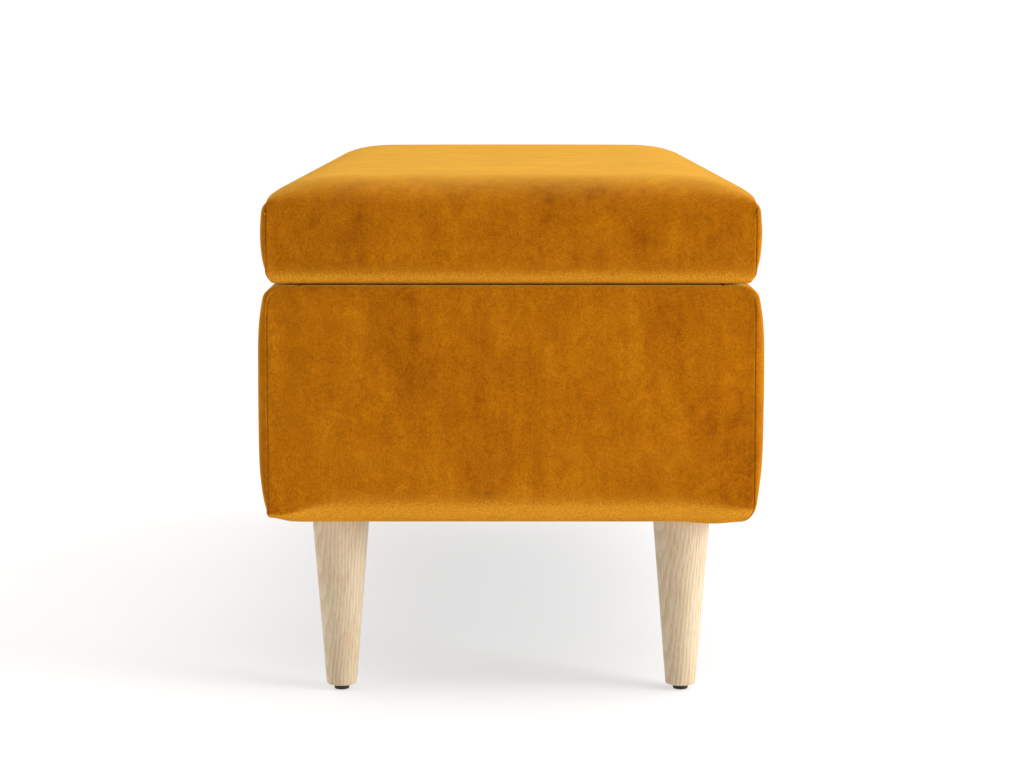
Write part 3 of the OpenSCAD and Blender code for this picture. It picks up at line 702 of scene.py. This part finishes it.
BOX_FREE = (BOX_Z0 + 12 * MM, BOX_Z1 - 6 * MM)  # heights between which the padding is loose
LID_FREE = (LID_Z0 + 8 * MM, 1.0)
FACE = np.s_[9:-22, SEAM_CELLS:-SEAM_CELLS]     # a box panel's part between its rolled edges
box_middle, lid_middle = (BOX_Z0 + BOX_Z1) / 2, (LID_Z0 + LID_Z1) / 2


def make_panel(name, grid, inside, free_z, body, replaced, **more):
    grid = inflate(grid, inside, hold(grid, free_z))
    panel(name, grid, inside, body, replaced, **more)
    return grid


def foam_layer(name, grid, inside, thick, body, replaced, material):
    """Foam or wadding that follows the velvet just below it."""
    obj, _ = grid_mesh(name, grid - normals_of(grid, inside) * (COVER_T + 0.3 * MM))
    face_outward(obj, inside)
    modify(obj, "SOLIDIFY", thickness=thick, offset=-1, use_rim=True)
    apply_modifiers(obj)
    finish_soft(obj, body, replaced, material)


def finish_soft(obj, body, replaced, material):
    smooth(obj, 40)
    obj.data.materials.clear()
    obj.data.materials.append(material)
    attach(obj, body)
    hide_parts(replaced)


def clear_of_hinges(grid):
    """Presses the velvet back to the box's rim and the lid's underside where the hinges lie."""
    x, y, z = grid[..., 0], grid[..., 1], grid[..., 2]
    away = smoothstep((np.abs(np.abs(x) - HINGE_X) - HINGE_HALF) / (8 * MM))
    away = np.maximum(away, y < 165 * MM)
    rim, lid = np.maximum(z - BOX_Z1, 0) * (z < LID_Z0 - 1.2 * MM), np.maximum(LID_Z0 - z, 0)
    lid = lid * (z > BOX_Z1 + 1.2 * MM)
    grid[..., 2] = z - rim * (1 - away) + lid * (1 - away)
    return grid


def make_box_panels():
    for side, name in ((FRONT, "front"), (BACK, "back")):
        inside = (0, side * 200 * MM, box_middle)
        grid = clear_of_hinges(box_side_points(side, side == FRONT))
        grid = make_panel(f"box_{name}_velvet", grid, inside, BOX_FREE, "box", f"{name}_cover")
        foam_layer(f"box_{name}_foam", grid[FACE], inside, 8 * MM, "box", f"{name}_foam", FOAM)
    for side, name in ((LEFT, "left"), (RIGHT, "right")):
        inside = (side * 480 * MM, 0, box_middle)
        grid = make_panel(f"box_{name}_end_velvet", box_end_points(side), inside, BOX_FREE, "box",
                          f"{name}_end_cover")
        foam_layer(f"box_{name}_end_foam", grid[FACE], inside, 7 * MM, "box",
                   f"{name}_end_foam", FOAM)


def make_lid_foam():
    """The slab of firm foam on the lid's board, its edges rounded off."""
    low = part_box("lid_board")[1].z + 0.2 * MM
    high = LID_TOP - 12 * MM
    deselect()
    bpy.ops.mesh.primitive_cube_add(size=1)
    obj = bpy.context.object
    obj.name = obj.data.name = "lid_foam_slab"
    bpy.ops.object.mode_set(mode="EDIT")
    bpy.ops.mesh.select_all(action="SELECT")
    bpy.ops.transform.resize(value=(2 * HALF_L - 40 * MM, 2 * SEAM_Y - 20 * MM, high - low))
    bpy.ops.transform.translate(value=(0, 0, (low + high) / 2))
    bpy.ops.mesh.bevel(offset=22 * MM, segments=6, affect="EDGES")
    bpy.ops.object.mode_set(mode="OBJECT")
    finish_soft(obj, "lid", "lid_foam", FOAM)


def make_lid_panels():
    grid = make_panel("lid_band_velvet", band_points(), (0, 0, lid_middle), LID_FREE, "lid",
                      "lid_band")
    top = grid[grid[:, grid.shape[1] // 2, 2] > LID_SHOULDER + 12 * MM][:, 3:-3]
    foam_layer("lid_top_wadding", top, (0, 0, 0), 6 * MM, "lid", "lid_wadding", WADDING)
    make_lid_foam()
    for side, name in ((FRONT, "front"), (BACK, "back")):
        make_panel(f"lid_{name}_gusset_velvet", clear_of_hinges(gusset_points(side)),
                   (0, side * 190 * MM, lid_middle), LID_FREE, "lid", f"lid_{name}_gusset",
                   top_seam=True)


make_box_panels()
make_lid_panels()


# ---------------------------------------------------------------- the linings

def flat_sheet(name, low, high, sag, thick):
    """A level sheet of lining between two corners that hangs a little between its fixings."""
    cols, rows = 94, 38
    deselect()
    bpy.ops.mesh.primitive_grid_add(x_subdivisions=cols, y_subdivisions=rows, size=1)
    obj = bpy.context.object
    obj.name = obj.data.name = name
    co = vertices_of(obj)
    x, y = 2 * co[:, 0], 2 * co[:, 1]
    edge = np.minimum((1 - np.abs(x)) * 470, (1 - np.abs(y)) * 186)
    fixed = np.exp(-edge / 25)
    wave = [noise.noise(Vector((a * 5, b * 3, 2.5))) for a, b in zip(x, y)]
    pucker = [noise.noise(Vector((a * 16, b * 8, 7.5))) for a, b in zip(x, y)]
    down = (1 - fixed) * (0.55 + 0.45 * np.array(wave)) + fixed * np.clip(pucker, 0, 1) * 0.5
    co[:, 0] *= high[0] - low[0]
    co[:, 1] *= high[1] - low[1]
    co[:, 2] = high[2] - np.clip(down, 0, 1) * sag
    set_vertices(obj, co)
    modify(obj, "SOLIDIFY", thickness=thick, offset=-1, use_rim=True)
    apply_modifiers(obj)
    smooth(obj)
    return obj


def finish_sheet(obj, body, replaced, **facts):
    obj.data.materials.clear()
    obj.data.materials.append(LINING)
    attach(obj, body)
    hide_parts(replaced)


def make_linings():
    low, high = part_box("dust_cover")
    obj = flat_sheet("dust_cover_cloth", low, high, 1.5 * MM, 0.4 * MM)
    finish_sheet(obj, "box", "dust_cover", flat=(high.x - low.x, high.y - low.y),
                 held="stretched", rests_on=["base_board"])
    low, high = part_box("lid_lining")
    obj = flat_sheet("lid_lining_cloth", low, high, 0.7 * MM, 0.4 * MM)
    finish_sheet(obj, "lid", "lid_lining", flat=(high.x - low.x, high.y - low.y),
                 held="stretched", rests_on=["lid_board"])
    make_well_lining()


def make_well_lining():
    """The tub of lining cloth in the box: a floor and four walls from one cross-shaped cut,
    glued to the walls and a little loose between."""
    low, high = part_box("storage_lining")
    size = Vector(high) - Vector(low)
    deselect()
    bpy.ops.mesh.primitive_cube_add(size=1)
    obj = bpy.context.object
    obj.name = obj.data.name = "storage_lining_cloth"
    bpy.ops.object.mode_set(mode="EDIT")
    bpy.ops.mesh.select_all(action="SELECT")
    bpy.ops.mesh.subdivide(number_cuts=28)
    bpy.ops.object.mode_set(mode="OBJECT")
    co = vertices_of(obj)
    walls = (np.abs(co[:, 0]) > 0.499) | (np.abs(co[:, 1]) > 0.499)
    floor = co[:, 2] < -0.499
    loose = np.array([0.5 + 0.5 * noise.noise(Vector((a * 9, b * 5, c * 3))) for a, b, c in co])
    pull = 1.2 * MM * loose * np.clip((0.5 - np.abs(co[:, 2])) * 8, 0, 1) * walls * ~floor
    place = co * size + (Vector(low) + size / 2)
    place[:, 0] -= np.sign(co[:, 0]) * ((np.abs(co[:, 0]) > 0.499) * pull + 0.3 * MM)
    place[:, 1] -= np.sign(co[:, 1]) * ((np.abs(co[:, 1]) > 0.499) * pull + 0.3 * MM)
    place[:, 2] += np.where(floor & ~walls, 0.8 * MM * loose, 0) + 0.3 * MM * floor
    set_vertices(obj, place)
    activate(obj)
    bpy.ops.object.mode_set(mode="EDIT")
    bpy.ops.mesh.select_mode(type="FACE")
    bpy.ops.object.mode_set(mode="OBJECT")
    top = high.z - 1 * MM
    for polygon in obj.data.polygons:
        polygon.select = polygon.center.z > top and polygon.normal.z > 0.9
    bpy.ops.object.mode_set(mode="EDIT")
    bpy.ops.mesh.delete(type="FACE")
    bpy.ops.mesh.select_all(action="SELECT")
    bpy.ops.mesh.flip_normals()
    bpy.ops.object.mode_set(mode="OBJECT")
    modify(obj, "SOLIDIFY", thickness=0.5 * MM, offset=1, use_rim=True)
    apply_modifiers(obj)
    smooth(obj, 50)
    area = size.x * size.y + 2 * (size.x + size.y) * size.z
    finish_sheet(obj, "box", "storage_lining", area=area, held="stretched",
                 flat=(size.x + 2 * size.z, size.y + 2 * size.z), rests_on=["storage_floor"])


make_linings()


# ---------------------------------------------------------------- the frame's own parts

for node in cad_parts.values():
    slot = node.data.materials[0].name
    if slot in MATERIALS:
        node.data.materials[0] = MATERIALS[slot]
    if slot in ("pale_ash", "rod_chrome"):
        smooth(node, 35)


# ---------------------------------------------------------------- floor, light and camera

def area_light(name, place, aim, size, power, colour="#ffffff"):
    data = bpy.data.lights.new(name, "AREA")
    data.shape = "RECTANGLE"
    data.size, data.size_y = size
    data.energy = power
    data.color = srgb(colour)[:3]
    light = bpy.data.objects.new(name, data)
    bpy.context.scene.collection.objects.link(light)
    light.location = place
    light.rotation_euler = (Vector(aim) - Vector(place)).to_track_quat("-Z", "Y").to_euler()
    return light


def dark_card(name, place, size):
    """A dark card behind the camera, which keeps flat light off the near end. The camera does not
    see it."""
    deselect()
    bpy.ops.mesh.primitive_plane_add(size=1)
    card = bpy.context.object
    card.name = card.data.name = name
    co = vertices_of(card)
    set_vertices(card, np.stack([place[0] + 0 * co[:, 0], place[1] + co[:, 0] * size[0],
                                 place[2] + co[:, 1] * size[1]], axis=-1))
    card.data.materials.append(mottled_material("matt_black_card", "#141414", "#1c1c1c", 40))
    card.visible_camera = False


def make_studio():
    deselect()
    bpy.ops.mesh.primitive_plane_add(size=80, location=(0, 0, 0))
    floor = bpy.context.object
    floor.name = "studio_floor"
    material, tree, shader = new_material("lit_white_studio_floor")
    place = add(tree, "TexCoord").outputs["Object"]
    cloud = noise_fac(tree, place, 3, 2, 0.5)
    tree.links.new(ramp(tree, cloud, [(0.3, "#b4b4b4"), (0.7, "#b8b8b8")]),
                   shader.inputs["Base Color"])
    shader.inputs["Emission Color"].default_value = srgb("#ffffff")
    shader.inputs["Emission Strength"].default_value = 0.55
    settings(shader, rough=0.9, specular=0.1)
    floor.data.materials.append(material)
    world = bpy.data.worlds.new("studio")
    bpy.context.scene.world = world
    world.use_nodes = True
    background = world.node_tree.nodes["Background"]
    background.inputs["Color"].default_value = srgb("#ffffff")
    background.inputs["Strength"].default_value = 1.05
    area_light("overhead", (0.2, 1.3, 2.6), (0, 0, 0.3), (3.5, 3.5), 42)
    area_light("right_side", (1.2, 2.1, 0.8), (0.4, 0, 0.3), (1.2, 1.2), 38)
    for x, y, size in ((0.98, 0, (0.7, 1.1)), (-0.98, 0, (0.7, 1.1)), (0, -0.7, (1.6, 0.6))):
        foot = area_light("floor_glow", (x, y, 0.01), (x, y, 1), size, size[0] * size[1])
        foot.visible_camera = False
    dark_card("dark_card", (3.6, 0, 3.0), (7, 5))
    bpy.context.scene.view_settings.view_transform = "Standard"


def make_camera():
    """Low in front of the right-hand end, looking along the ottoman with a long lens."""
    data = bpy.data.cameras.new("camera")
    data.lens = 88.35
    data.sensor_width = 36
    data.shift_y = -0.09
    data.clip_end = 100
    camera = bpy.data.objects.new("camera", data)
    bpy.context.scene.collection.objects.link(camera)
    camera.location = (2.7017, 0.0008, 0.5686)
    camera.rotation_euler = (math.radians(90 - 5.156), 0, math.radians(90))
    bpy.context.scene.camera = camera


make_studio()
make_camera()

bpy.context.view_layer.update()
